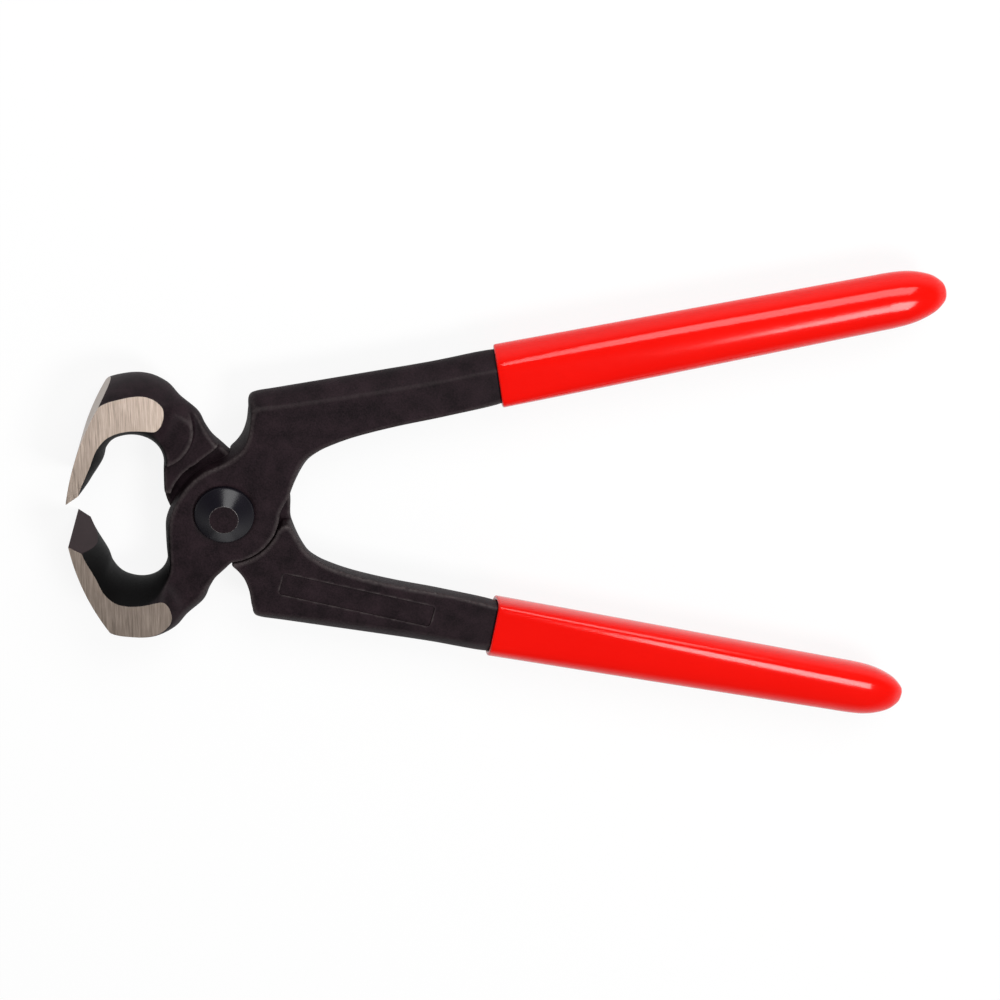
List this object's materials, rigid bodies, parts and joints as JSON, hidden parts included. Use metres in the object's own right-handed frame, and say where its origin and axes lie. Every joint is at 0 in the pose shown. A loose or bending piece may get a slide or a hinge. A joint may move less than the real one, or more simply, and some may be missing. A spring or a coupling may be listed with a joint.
{
  "type": "end cutting nippers",
  "caption": "End cutting nippers of the carpenter's pincer kind: forged black levers lapped on a rivet, round ground jaws that meet end on, and glossy red dipped grips.",
  "frame": {"origin": "on the pivot axis, in the plane where the two levers' laps meet", "axes": "+X along the tool from the pivot to the handles, +Y towards the front lever's handle, +Z along the rivet towards the front"},
  "size_m": [0.1745, 0.099, 0.0194],
  "materials": {
    "steel": "black oxide on forged steel, satin, with fine grain",
    "rivet": "dark satin steel with a blue cast",
    "grip": "glossy red dipped vinyl"
  },
  "bodies": {
    "front_half": {"front_lever": "steel", "pivot_rivet": "rivet", "front_grip": "grip"},
    "rear_half": {"rear_lever": "steel", "rear_grip": "grip"}
  },
  "joints": [
    {"name": "pivot", "type": "hinge", "parent": "front_half", "child": "rear_half", "pos_m": [0, 0, 0], "axis": [0, 0, -1], "range_deg": [-16.8, 1.5]}
  ]
}
